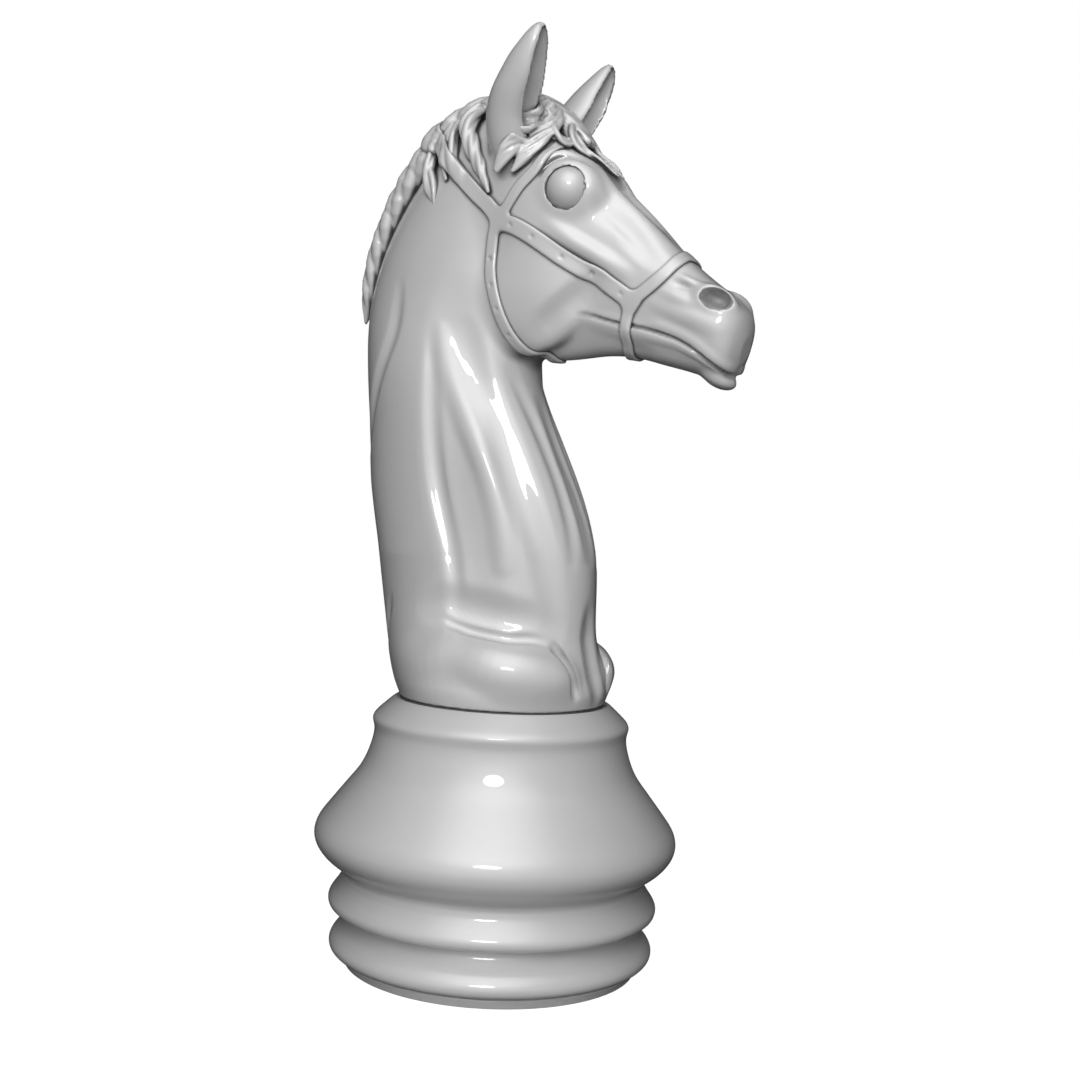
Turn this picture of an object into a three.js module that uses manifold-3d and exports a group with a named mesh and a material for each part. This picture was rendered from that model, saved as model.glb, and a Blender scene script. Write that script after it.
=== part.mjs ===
// Giant garden chess knight: a hollow horse bust that drops onto a weighted, sand-filled base.
// Units are millimetres, +Z is up, +X is the way the horse faces and +Y is its left side.
// The origin is the centre of the foot, on the ground.
import * as THREE from "three";
import { mergeVertices } from "three/addons/utils/BufferGeometryUtils.js";
import Module from "manifold-3d";

const wasm = await Module();
wasm.setup();

// Driving dimensions.
const BELL_RADIUS = 150;
const FOOT_RADIUS = 121;
const PAD_LIFT = 0.5;
const SEAT_Z = 219;
const BUST_FOOT_Z = 221.3;
const BUST_FOOT_RADIUS = 85;
const SHELL_WALL = 4;
const GAP = 0.35;
const STRAP_THICK = 3.2;
const STRAP_WIDE = 14;
const SPIGOT_RADIUS = 60;
const SPIGOT_TOP_Z = 266;
const FILLER_RADIUS = 40;
const FILLER_TOP_Z = 284;
const EYE_RADIUS = 18;
const EYE_PLACE = [62, 30.5, 629];
const STUD_PLACE = [118, 546];
const STUD_RADIUS = 7.5;
const CHEEK_JOINT = [0, 604];
const TURN_SIDES = 32;

const gloss = (hex, roughness = 0.25) =>
  new THREE.MeshStandardMaterial({ color: hex, roughness, metalness: 0 });
const MATERIALS = {
  moulding: gloss(0xbdbdbd),
  hair: gloss(0xbababa, 0.3),
  strap: gloss(0xb8b8b8, 0.3),
  eye: gloss(0xb4b4b4, 0.12),
  rubber: gloss(0x2b2b2d, 0.8),
  cap: gloss(0x3a3d42, 0.5),
  sand: gloss(0xb79a6b, 0.95),
  steel: new THREE.MeshStandardMaterial({ color: 0x9a9ca0, roughness: 0.35, metalness: 1 }),
};

const knight = new THREE.Group();
const base = new THREE.Group();
const filler = new THREE.Group();
const bust = new THREE.Group();
knight.add(base, filler, bust);

// ---------------------------------------------------------------- solids and meshes

function solidFrom(geometry) {
  const bare = geometry.index ? geometry.toNonIndexed() : geometry.clone();
  for (const name of ["normal", "uv"]) bare.deleteAttribute(name);
  const merged = mergeVertices(bare, 1e-3);
  return new wasm.Manifold(
    new wasm.Mesh({
      numProp: 3,
      vertProperties: merged.attributes.position.array,
      triVerts: new Uint32Array(merged.index.array),
    }),
  );
}

function addMesh(group, name, solid, material, place = [0, 0, 0]) {
  const made = solid.getMesh();
  const geometry = new THREE.BufferGeometry();
  geometry.setAttribute("position", new THREE.BufferAttribute(made.vertProperties, 3));
  geometry.setIndex(new THREE.BufferAttribute(made.triVerts, 1));
  geometry.computeVertexNormals();
  const mesh = new THREE.Mesh(geometry, MATERIALS[material]);
  mesh.name = name;
  mesh.position.set(...place);
  group.add(mesh);
}

const joined = (solids) => solids.reduce((all, next) => all.add(next));
const biggest = (solid) => solid.decompose().reduce((a, b) => (a.volume() > b.volume() ? a : b));

// A solid of revolution about an upright axis through x, y, from a closed profile of
// [radius, height] points.
function turned(profile, sides = TURN_SIDES, x = 0, y = 0) {
  const points = profile.map(([r, z]) => new THREE.Vector2(r, z));
  if (THREE.ShapeUtils.area(points) < 0) points.reverse();
  if (points.every((p) => p.x > 0)) points.push(points[0].clone());
  const geometry = new THREE.LatheGeometry(points, sides);
  geometry.rotateX(Math.PI / 2).translate(x, y, 0);
  return solidFrom(geometry);
}

const disc = (radius, z0, z1, x = 0, y = 0, sides = 24) =>
  turned([[0, z0], [radius, z0], [radius, z1], [0, z1]], sides, x, y);

const ring = (inner, outer, z0, z1, sides = TURN_SIDES) =>
  turned([[inner, z0], [outer, z0], [outer, z1], [inner, z1]], sides);

const around = (count, radius, start = 0) =>
  Array.from({ length: count }, (_, i) => {
    const angle = start + (i * 2 * Math.PI) / count;
    return [radius * Math.cos(angle), radius * Math.sin(angle)];
  });

// A block that covers one side of the middle plane: side is -1 for the horse's right, +1 for its left.
function sideBlock(side, from = GAP / 2) {
  const reach = 400;
  const block = new THREE.BoxGeometry(2 * reach, reach, 3 * reach);
  block.translate(0, side * (from + reach / 2), reach);
  return solidFrom(block);
}

// A ribbon drawn in side view along [x, z] points and run right through the object along Y.
function ribbon(points, width) {
  const path = points.map(([x, z]) => new THREE.Vector2(x, z));
  const edge = (sign) =>
    path.map((p, i) => {
      const before = path[Math.max(0, i - 1)];
      const after = path[Math.min(path.length - 1, i + 1)];
      const along = after.clone().sub(before).normalize();
      return new THREE.Vector2(p.x - sign * along.y * width / 2, p.y + sign * along.x * width / 2);
    });
  const shape = new THREE.Shape([...edge(-1), ...edge(1).reverse()]);
  const geometry = new THREE.ExtrudeGeometry(shape, { depth: 260, bevelEnabled: false });
  geometry.translate(0, 0, -130).rotateX(Math.PI / 2);
  return solidFrom(geometry);
}

// A round bar along Y through [x, z].
function crossBar([x, z], radius) {
  const geometry = new THREE.CylinderGeometry(radius, radius, 260, 16).translate(x, 0, z);
  return solidFrom(geometry);
}

// ---------------------------------------------------------------- the horse's outer form

// One closed ring in the plane through the side-view points a and b. Its widest place lies at
// the share `wide` of the way from a to b, and `full` squares up its corners (2 is an ellipse).
function section([ax, az], [bx, bz], halfWidth, wide, full, grow, count) {
  const length = Math.hypot(bx - ax, bz - az);
  const ux = (bx - ax) / length;
  const uz = (bz - az) / length;
  const reachA = wide * length + grow;
  const reachB = (1 - wide) * length + grow;
  const cx = ax + ux * wide * length;
  const cz = az + uz * wide * length;
  return Array.from({ length: count }, (_, i) => {
    const angle = (i * 2 * Math.PI) / count;
    const c = Math.cos(angle);
    const s = Math.sin(angle);
    const along = Math.sign(c) * Math.abs(c) ** (2 / full) * (c > 0 ? reachB : reachA);
    const across = Math.sign(s) * Math.abs(s) ** (2 / full) * (halfWidth + grow);
    return new THREE.Vector3(cx + ux * along, across, cz + uz * along);
  });
}

// A closed skin over a row of rings, with a fan on each end.
function loft(rings) {
  const count = rings[0].length;
  const positions = [];
  const index = [];
  rings.forEach((points) => points.forEach((p) => positions.push(p.x, p.y, p.z)));
  for (let r = 0; r < rings.length - 1; r++)
    for (let i = 0; i < count; i++) {
      const j = (i + 1) % count;
      const a = r * count + i;
      const b = r * count + j;
      index.push(a, a + count, b, b, a + count, b + count);
    }
  [rings[0], rings[rings.length - 1]].forEach((points, end) => {
    const centre = points.reduce((sum, p) => sum.add(p), new THREE.Vector3()).divideScalar(count);
    positions.push(centre.x, centre.y, centre.z);
    const tip = positions.length / 3 - 1;
    const first = end ? (rings.length - 1) * count : 0;
    for (let i = 0; i < count; i++) {
      const a = first + i;
      const b = first + ((i + 1) % count);
      index.push(...(end ? [a, tip, b] : [a, b, tip]));
    }
  });
  const geometry = new THREE.BufferGeometry();
  geometry.setAttribute("position", new THREE.Float32BufferAttribute(positions, 3));
  geometry.setIndex(index);
  const solid = solidFrom(geometry);
  return solid.volume() > 0 ? solid : solidFrom(flipped(geometry));
}

function flipped(geometry) {
  const order = Array.from(geometry.index.array);
  for (let i = 0; i < order.length; i += 3) [order[i + 1], order[i + 2]] = [order[i + 2], order[i + 1]];
  return geometry.setIndex(order);
}

function ellipsoid([x, y, z], [rx, ry, rz], tilt = 0, grow = 0) {
  const geometry = new THREE.SphereGeometry(1, 12, 8);
  geometry.scale(rx + grow, ry + grow, rz + grow);
  geometry.rotateY(tilt);
  geometry.translate(x, y, z);
  return solidFrom(geometry);
}

// Neck sections: back of the neck, front of the neck, half width, share to the widest place.
const NECK = [
  [[-85, BUST_FOOT_Z], [85, BUST_FOOT_Z], 85, 0.5],
  [[-92, 234], [90, 233], 87, 0.5],
  [[-101, 252], [89, 250], 84, 0.5],
  [[-108, 275], [78, 275], 77, 0.5],
  [[-114, 300], [78, 298], 73, 0.52],
  [[-125, 347], [76, 345], 67, 0.54],
  [[-136, 396], [60, 392], 62, 0.56],
  [[-141, 450], [36, 440], 58, 0.58],
  [[-147, 500], [18, 480], 54, 0.58],
  [[-148, 545], [16, 512], 50, 0.58],
  [[-137, 590], [18, 545], 47, 0.56],
  [[-117, 630], [20, 575], 43, 0.55],
  [[-90, 665], [24, 602], 39, 0.52],
  [[-58, 693], [30, 625], 36, 0.5],
  [[-28, 706], [36, 645], 33, 0.5],
  [[-4, 706], [42, 662], 22, 0.5],
];

// Head sections from the poll to the lips: top line, jaw line, half width, widest share, fullness.
const HEAD = [
  [[-22, 690], [-28, 590], 34, 0.45, 2],
  [[4, 706], [-14, 556], 42, 0.45, 2],
  [[30, 691], [2, 522], 45, 0.45, 2.1],
  [[55, 668], [24, 503], 47, 0.36, 2.1],
  [[78, 647], [50, 501], 44, 0.36, 2.1],
  [[103, 624], [80, 505], 37, 0.4, 2.2],
  [[126, 602], [106, 504], 32, 0.42, 2.2],
  [[147, 582], [132, 498], 30, 0.46, 2.2],
  [[167, 565], [153, 492], 30, 0.45, 2.3],
  [[184, 551], [172, 485], 32, 0.4, 2.4],
  [[196, 538], [185, 484], 30, 0.42, 2.3],
  [[201, 526], [193, 493], 20, 0.42, 2.1],
];

const neckForm = (grow, stations = NECK) =>
  loft(stations.map(([back, front, width, wide]) => section(back, front, width, wide, 2, grow, 16)));
const headForm = (grow, stations = HEAD) =>
  loft(stations.map(([top, jaw, width, wide, full]) => section(top, jaw, width, wide, full, grow, 14)));
const cheekForm = (side, grow) => ellipsoid([28, side * 24, 556], [58, 22, 50], -0.5, grow);
const nostrilForm = (side, grow) => ellipsoid([180, side * 20, 546], [17, 11, 13], 0.5, grow);

// An upright ear: a leaf that is widest a third of the way up and is scooped out at the front.
function earForm(side, grow) {
  const foot = new THREE.Vector3(4, side * 36, 664);
  const tip = new THREE.Vector3(39, side * 60, 757);
  const shares = [[0, 22, 20], [0.3, 19, 17], [0.6, 15, 12], [0.85, 9, 7], [1, 2.5, 2]];
  const rings = shares.map(([share, long, thick]) => {
    const centre = foot.clone().lerp(tip, share);
    return Array.from({ length: 10 }, (_, i) => {
      const angle = (i * Math.PI) / 5;
      const x = Math.cos(angle) * (long + grow);
      const y = Math.sin(angle) * (thick + grow);
      return new THREE.Vector3(centre.x + x, centre.y + y, centre.z - 0.25 * x);
    });
  });
  return loft(rings);
}

function earScoop(side) {
  const foot = new THREE.Vector3(34, side * 42, 676);
  const tip = new THREE.Vector3(48, side * 58, 744);
  const shares = [[0, 6], [0.35, 10], [0.7, 8], [1, 3]];
  const rings = shares.map(([share, radius]) => {
    const centre = foot.clone().lerp(tip, share);
    return Array.from({ length: 8 }, (_, i) => {
      const angle = (i * Math.PI) / 4;
      return new THREE.Vector3(
        centre.x + Math.cos(angle) * radius * 1.1,
        centre.y + Math.sin(angle) * radius * 0.8,
        centre.z,
      );
    });
  });
  return loft(rings);
}

const SIDES = [
  ["right", -1],
  ["left", 1],
];

// The whole bust, grown outwards by `grow`, without its hollow.
function bustForm(grow, ears = true) {
  const parts = [neckForm(grow), headForm(grow)];
  for (const [, side] of SIDES) {
    parts.push(cheekForm(side, grow), nostrilForm(side, grow));
    if (ears) parts.push(earForm(side, grow));
  }
  return joined(parts);
}

// ---------------------------------------------------------------- base

// The turned outline of the base, from the foot joint up to the seat of the bust: a low ring, a
// high ring, then the bell and waist, then the bevelled collar.
const LOW_RING = [
  [123.4, 8.4], [130.2, 11.2], [134, 17.6], [132, 23.6], [124.4, 31.5], [119, 39.4], [118, 43.6],
];
const HIGH_RING = [
  [118.2, 44], [131.4, 46.6], [136.1, 52.6], [133.9, 59], [128.4, 67], [125.4, 75.4],
];
const BELL = [
  [125.3, 75.8], [130, 82], [143.8, 93], [BELL_RADIUS, 107], [147, 118], [133.8, 136], [116, 159],
  [107.4, 178.5], [104.8, 194], [106.3, 201.5], [103.4, 207.2], [89.5, 219.2], [86.4, SEAT_Z],
];

const curve = (keys, count) =>
  new THREE.SplineCurve(keys.map(([r, z]) => new THREE.Vector2(r, z)))
    .getPoints(count)
    .map((p) => [p.x, p.y]);

function baseOutline() {
  return [...curve(LOW_RING, 8), ...curve(HIGH_RING, 8), ...curve(BELL, 17)];
}

function makeBase() {
  const inside = [
    [62, SEAT_Z], [62, 211], [76, 211], [96, 208], [99, 188], [106, 162], [136, 124], [142, 108],
    [118, 76], [112, 44], [117, 20], [100, 17.5], [100, 10.2], [120.6, 10.2], [120.6, 8.4],
  ];
  let shell = turned([...baseOutline(), ...inside]);
  let foot = turned([
    [0, PAD_LIFT], [FOOT_RADIUS - 1, PAD_LIFT], [FOOT_RADIUS, PAD_LIFT + 1], [123, 7.9],
    [99.5, 7.9], [99.5, 14], [93, 14], [91, 9], [0, 9],
  ]);
  let gasket = ring(101, 119.8, 8.2, 9.9);
  const screws = around(6, 110.5, Math.PI / 6);
  for (const [x, y] of screws) {
    const hole = disc(2.9, 0, 17.9, x, y, 6);
    shell = shell.subtract(hole);
    gasket = gasket.subtract(hole);
    foot = foot.subtract(hole).subtract(disc(6, 0, 5.4, x, y, 10));
  }
  const pads = [...around(4, 84, Math.PI / 4), [0, 0]];
  for (const [x, y] of pads) foot = foot.subtract(disc(14.6, 0, 5.4, x, y, 16));
  addMesh(base, "base_shell", shell, "moulding");
  const spigot = turned([
    [72, 205], [72, 210.4], [SPIGOT_RADIUS, 210.4], [SPIGOT_RADIUS, SPIGOT_TOP_Z - 4],
    [SPIGOT_RADIUS - 4, SPIGOT_TOP_Z], [FILLER_RADIUS, SPIGOT_TOP_Z],
    [FILLER_RADIUS, FILLER_TOP_Z], [FILLER_RADIUS - 6, FILLER_TOP_Z],
    [FILLER_RADIUS - 6, SPIGOT_TOP_Z - 5], [SPIGOT_RADIUS - 6, SPIGOT_TOP_Z - 8],
    [SPIGOT_RADIUS - 6, 205],
  ]);
  addMesh(base, "spigot", spigot, "moulding");
  addMesh(base, "foot_plate", foot, "moulding");
  addMesh(base, "foot_gasket", gasket, "rubber");
  const drive = screw(12.2);
  screws.forEach(([x, y], i) => addMesh(base, `foot_screw_${i + 1}`, drive, "steel", [x, y, 5]));
  const pad = disc(14, 0, 5, 0, 0, 16);
  pads.forEach(([x, y], i) => addMesh(base, `rubber_foot_${i + 1}`, pad, "rubber", [x, y, 0]));
  const top = curve([[114, 60], [106, 62], [80, 66], [40, 69], [0, 70]], 5);
  const floor = [[0, 9.4], [90.6, 9.4], [92.6, 14.5], [98, 18], [116, 20.6], [111.4, 44]];
  addMesh(base, "sand_ballast", turned([...floor, ...top.slice(0, -1), [0, 70]]), "sand");
}

// A pan-head screw that points up, with its head below z = 0 and a hexagon socket in the head.
function screw(length) {
  const profile = [[0, -3], [4.6, -3], [5.2, -2], [5.2, 0], [2.4, 0], [2.4, length - 3], [0, length]];
  return turned(profile, 8).subtract(disc(1.8, -4, -1.2, 0, 0, 6));
}

// ---------------------------------------------------------------- filler cap

function makeFillerCap() {
  const inner = FILLER_RADIUS + 1.2;
  const outer = FILLER_RADIUS + 7;
  const rim = SPIGOT_TOP_Z + 2;
  const top = FILLER_TOP_Z + 8;
  let cap = turned([
    [0, top - 4.6], [inner, top - 4.6], [inner, rim], [outer, rim], [outer, top - 2],
    [outer - 2, top], [0, top],
  ]);
  for (const [x, y] of around(12, outer + 2.2)) cap = cap.subtract(disc(4, 0, 400, x, y, 8));
  const bar = new THREE.BoxGeometry(58, 9, 9).translate(0, 0, top + 3.5);
  cap = cap.add(solidFrom(bar));
  addMesh(filler, "filler_cap", cap, "cap");
  const seal = ring(FILLER_RADIUS - 6, FILLER_RADIUS + 0.8, FILLER_TOP_Z + 0.3, top - 4.9);
  addMesh(filler, "cap_seal", seal, "rubber");
}

// ---------------------------------------------------------------- seat and socket of the bust

const SOCKET_SCREWS = around(4, 72.5, Math.PI / 4);

function makeSeat() {
  const seat = ring(SPIGOT_RADIUS + 1.4, BUST_FOOT_RADIUS, SEAT_Z + 0.3, BUST_FOOT_Z - 0.3);
  addMesh(bust, "seat_ring", seat, "rubber");
  const bore = SPIGOT_RADIUS + 0.7;
  const floor = BUST_FOOT_Z + 0.2;
  let socket = turned([
    [bore, floor], [79.2, floor], [79.2, floor + 8], [bore + 5, floor + 8], [bore + 4, floor + 38],
    [bore, floor + 38],
  ]);
  for (const [x, y] of SOCKET_SCREWS)
    socket = socket.subtract(disc(2.9, 0, 260, x, y, 6)).subtract(disc(5.8, 0, floor + 4, x, y, 10));
  addMesh(bust, "neck_socket", socket, "cap");
  const drive = screw(22.4);
  SOCKET_SCREWS.forEach(([x, y], i) =>
    addMesh(bust, `socket_screw_${i + 1}`, drive, "steel", [x, y, floor + 3.6]),
  );
}

// ---------------------------------------------------------------- bust shells and eyes

function makeBust() {
  const socketTop = BUST_FOOT_Z + 8.6;
  const skin = bustForm(0);
  const room = neckForm(-SHELL_WALL, NECK.slice(0, -1)).add(headForm(-SHELL_WALL, HEAD.slice(0, -1)));
  const mouth = disc(BUST_FOOT_RADIUS - SHELL_WALL - 0.5, 200, 223, 0, 0, 18);
  let shell = skin.subtract(room).subtract(mouth);
  for (const [x, y] of SOCKET_SCREWS) {
    const turn = Math.atan2(y, x);
    const rib = new THREE.BoxGeometry(26, 9, 30);
    rib.translate(0, 0, socketTop + 15).rotateZ(turn).translate(x * 1.12, y * 1.12, 0);
    const boss = disc(6.5, socketTop, socketTop + 30, x, y, 8).add(solidFrom(rib));
    shell = shell.add(boss.intersect(skin)).subtract(disc(2.9, 200, socketTop + 22, x, y, 6));
  }
  for (const [name, side] of SIDES) {
    const [ex, ey, ez] = EYE_PLACE;
    const socket = ellipsoid([ex, side * ey, ez], [EYE_RADIUS, EYE_RADIUS, EYE_RADIUS], 0, GAP);
    const nostril = ellipsoid([184, side * 27, 546], [9, 8, 6], 0.5);
    let half = shell.intersect(sideBlock(side)).subtract(socket).subtract(nostril);
    half = half.subtract(earScoop(side));
    addMesh(bust, `bust_${name}_shell`, biggest(half), "moulding");
    const ball = ellipsoid([0, 0, 0], [EYE_RADIUS, EYE_RADIUS, EYE_RADIUS]);
    addMesh(bust, `eye_${name}`, ball, "eye", [ex, side * ey, ez]);
  }
}

// ---------------------------------------------------------------- bridle

const BRIDLE = {
  crown_strap: [[0, 604], [-28, 632], [-62, 662], [-100, 696]],
  brow_strap: [[0, 604], [14, 627], [34, 659], [52, 694]],
  throat_strap: [[0, 604], [1, 582], [4, 556], [13, 527], [26, 505], [40, 484]],
  cheek_strap: [[0, 604], [40, 583], [80, 563], STUD_PLACE],
  nose_strap: [[155, 594], [132, 562], STUD_PLACE, [108, 518], [100, 488]],
};

function makeBridle() {
  const band = bustForm(GAP + STRAP_THICK, false).subtract(bustForm(GAP));
  const strap = (key, width = STRAP_WIDE) => band.intersect(ribbon(BRIDLE[key], width));
  const joint = crossBar(CHEEK_JOINT, 13);
  const jointRoom = crossBar(CHEEK_JOINT, 13 + GAP);
  const above = new THREE.BoxGeometry(400, 400, 400).translate(0, 0, 604 + 200);
  const ears = SIDES.map(([, side]) => earForm(side, GAP));
  const crown = joined([strap("crown_strap").intersect(solidFrom(above)), band.intersect(joint)]);
  const nose = strap("nose_strap").add(band.intersect(crossBar(STUD_PLACE, 10)));
  addMesh(bust, "crown_strap", ears.reduce((all, ear) => all.subtract(ear), crown), "strap");
  addMesh(bust, "nose_strap", nose, "strap");
  const trims = { brow_strap: strap("brow_strap", 12), throat_strap: strap("throat_strap", 12) };
  for (const [name, solid] of Object.entries(trims))
    addMesh(bust, name, ears.reduce((all, ear) => all.subtract(ear), solid.subtract(jointRoom)), "strap");
  const noseRoom = ribbon(BRIDLE.nose_strap, STRAP_WIDE + 2 * GAP).add(crossBar(STUD_PLACE, 10 + GAP));
  const stud = bustForm(2 * GAP + STRAP_THICK + 2, false).subtract(bustForm(2 * GAP + STRAP_THICK, false));
  for (const [name, side] of SIDES) {
    const block = sideBlock(side, 5);
    const cheek = strap("cheek_strap").subtract(jointRoom).subtract(noseRoom);
    const knob = stud.intersect(crossBar(STUD_PLACE, STUD_RADIUS)).intersect(block);
    addMesh(bust, `cheek_strap_${name}`, cheek.intersect(block), "strap");
    addMesh(bust, `cheek_stud_${name}`, knob, "strap");
  }
}

// ---------------------------------------------------------------- mane and forelock

// A rope of hair: side-view place, half width and half thickness at each point along it.
function hairRope(stations) {
  const centres = stations.map(([x, z]) => new THREE.Vector2(x, z));
  const rings = stations.map(([x, z, wide, thick], i) => {
    const before = centres[Math.max(0, i - 1)];
    const after = centres[Math.min(centres.length - 1, i + 1)];
    const along = after.clone().sub(before).normalize();
    return Array.from({ length: 12 }, (_, k) => {
      const angle = (k * Math.PI) / 6;
      const out = Math.cos(angle) * thick;
      return new THREE.Vector3(x - along.y * out, Math.sin(angle) * wide, z + along.x * out);
    });
  });
  return loft(rings);
}

const MANE = [
  [-151, 508, 4, 5], [-155, 535, 9, 8], [-153, 565, 13, 10], [-143, 600, 16, 12],
  [-126, 634, 20, 13], [-104, 664, 23, 13], [-78, 688, 25, 13], [-48, 705, 25, 13],
  [-26, 712, 22, 10],
];
const FORELOCK = [
  [-21, 711, 20, 9], [-4, 713, 25, 10], [18, 706, 27, 10], [38, 690, 22, 9],
  [56, 672, 16, 7], [72, 654, 8, 5],
];

function makeHair() {
  const room = bustForm(GAP);
  const eaves = bustForm(GAP * 2 + STRAP_THICK, false);
  const crownRoom = ribbon(BRIDLE.crown_strap, STRAP_WIDE + 2 * GAP).intersect(eaves);
  const browRoom = ribbon(BRIDLE.brow_strap, 12 + 2 * GAP).intersect(eaves);
  addMesh(bust, "mane", biggest(hairRope(MANE).subtract(room).subtract(crownRoom)), "hair");
  addMesh(bust, "forelock", biggest(hairRope(FORELOCK).subtract(room).subtract(browRoom)), "hair");
}

makeBase();
makeFillerCap();
makeSeat();
makeBust();
makeBridle();
makeHair();

export default knight;
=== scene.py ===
import math

import bmesh
import bpy
import numpy as np
import openvdb
from mathutils import Matrix, Vector


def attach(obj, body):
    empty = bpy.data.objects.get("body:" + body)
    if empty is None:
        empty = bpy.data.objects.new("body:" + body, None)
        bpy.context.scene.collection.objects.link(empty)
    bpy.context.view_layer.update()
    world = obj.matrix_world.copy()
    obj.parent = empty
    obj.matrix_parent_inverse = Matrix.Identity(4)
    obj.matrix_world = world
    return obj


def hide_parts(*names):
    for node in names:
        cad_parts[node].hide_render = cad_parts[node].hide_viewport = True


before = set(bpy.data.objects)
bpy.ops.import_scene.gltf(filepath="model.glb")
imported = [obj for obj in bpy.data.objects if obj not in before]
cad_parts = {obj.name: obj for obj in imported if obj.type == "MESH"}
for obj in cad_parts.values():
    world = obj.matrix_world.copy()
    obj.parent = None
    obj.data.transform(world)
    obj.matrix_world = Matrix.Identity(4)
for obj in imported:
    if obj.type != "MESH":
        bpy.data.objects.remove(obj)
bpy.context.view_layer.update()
collection = bpy.context.scene.collection

# ---- Where it stands: the camera, the lamps and the pale floor ----------------------------------
# The knight stands on a pale studio floor that runs on into a pale wall. A small oval lamp gives
# the crisp glints, a low one fills the shadows, and a wide one overhead fades towards its edge.

viewer = bpy.data.cameras.new("viewer")
viewer.lens = 50.0
viewer.sensor_width = 36.0
viewer.clip_end = 60.0
viewer_stand = bpy.data.objects.new("viewer", viewer)
viewer_distance, viewer_height, viewer_side = 1.2456, 0.3909, math.radians(30.0)
viewer_stand.location = (
    viewer_distance * math.sin(viewer_side),
    -viewer_distance * math.cos(viewer_side),
    viewer_height,
)
viewer_stand.rotation_euler = [math.radians(a) for a in (88.3075, -2.9076, 28.9491)]
collection.objects.link(viewer_stand)
bpy.context.scene.camera = viewer_stand
bpy.context.scene.view_settings.view_transform = "Standard"


lamp_distance, lit_point = 3.0, Vector((0.0, 0.0, 0.38))


def hang_lamp(name, bearing, height, size, power):
    """A round lamp panel, placed by its bearing round the knight and its height angle."""
    lamp = bpy.data.lights.new(name, "AREA")
    lamp.shape = "DISK"
    lamp.size = size
    lamp.energy = power
    panel = bpy.data.objects.new(name, lamp)
    bearing, height = math.radians(bearing), math.radians(height)
    level = math.cos(height)
    out = Vector((math.sin(bearing) * level, -math.cos(bearing) * level, math.sin(height)))
    panel.location = lit_point + out * lamp_distance
    panel.rotation_euler = (-out).to_track_quat("-Z", "Y").to_euler()
    collection.objects.link(panel)
    return panel


glint_lamp = hang_lamp("glint_lamp", 26.0, 26.0, 0.87, 22.0)
glint_lamp.data.shape = "ELLIPSE"
glint_lamp.data.size_y = 0.56
glint_lamp.data.use_shadow = False
glint_lamp.visible_diffuse = False
low_lamp = hang_lamp("low_lamp", 26.4, 11.0, 3.3, 168.0)
low_lamp.visible_glossy = False
soft_lamp = hang_lamp("soft_lamp", 26.4, 51.6, 5.6, 275.0)
soft_lamp.data.use_nodes = True
glow = soft_lamp.data.node_tree
panel_place = glow.nodes.new("ShaderNodeNewGeometry")
from_middle = glow.nodes.new("ShaderNodeVectorMath")
from_middle.operation = "DISTANCE"
from_middle.inputs[1].default_value = (0.5, 0.5, 0.0)
soft_edge = glow.nodes.new("ShaderNodeMapRange")
soft_edge.interpolation_type = "SMOOTHSTEP"
soft_edge.inputs["From Min"].default_value = 0.5
soft_edge.inputs["From Max"].default_value = 0.0
glow.links.new(panel_place.outputs["Parametric"], from_middle.inputs[0])
glow.links.new(from_middle.outputs["Value"], soft_edge.inputs["Value"])
glow.links.new(soft_edge.outputs["Result"], glow.nodes["Emission"].inputs["Strength"])

studio = bpy.data.worlds.new("studio")
studio.use_nodes = True
air = studio.node_tree
air.nodes.clear()
sky_out = air.nodes.new("ShaderNodeOutputWorld")
pick = air.nodes.new("ShaderNodeMixShader")
seen_directly = air.nodes.new("ShaderNodeLightPath")
dim_air = air.nodes.new("ShaderNodeBackground")
dim_air.inputs["Color"].default_value = (1.0, 1.0, 1.0, 1.0)
dim_air.inputs["Strength"].default_value = 0.043
white_wall = air.nodes.new("ShaderNodeBackground")
white_wall.inputs["Color"].default_value = (1.0, 1.0, 1.0, 1.0)
white_wall.inputs["Strength"].default_value = 1.0
air.links.new(seen_directly.outputs["Is Camera Ray"], pick.inputs["Fac"])
air.links.new(dim_air.outputs[0], pick.inputs[1])
air.links.new(white_wall.outputs[0], pick.inputs[2])
air.links.new(pick.outputs[0], sky_out.inputs["Surface"])
bpy.context.scene.world = studio

floor_mesh = bpy.data.meshes.new("floor")
floor_mesh.from_pydata(
    [(40.0 * x, 40.0 * y, 0.0) for x, y in ((-1, -1), (1, -1), (1, 1), (-1, 1))], [], [(0, 1, 2, 3)]
)
floor = bpy.data.objects.new("floor", floor_mesh)
collection.objects.link(floor)
pale = bpy.data.materials.new("pale_floor")
pale.use_nodes = True
paint = pale.node_tree.nodes["Principled BSDF"]
paint.inputs["Base Color"].default_value = (0.1, 0.1, 0.1, 1.0)
paint.inputs["Roughness"].default_value = 0.9
paint.inputs["Specular IOR Level"].default_value = 0.1
paint.inputs["Emission Color"].default_value = (1.0, 1.0, 1.0, 1.0)
paint.inputs["Emission Strength"].default_value = 1.0
floor_mesh.materials.append(pale)
floor.visible_diffuse = False
floor.visible_glossy = False

# ---- Base moulding ------------------------------------------------------------------------------
# The hollow foot of the piece, moulded in grey polyethylene and sprayed with a clear gloss coat:
# two ring mouldings, a bell, a waist and a bevelled collar that carries the bust.


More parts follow.
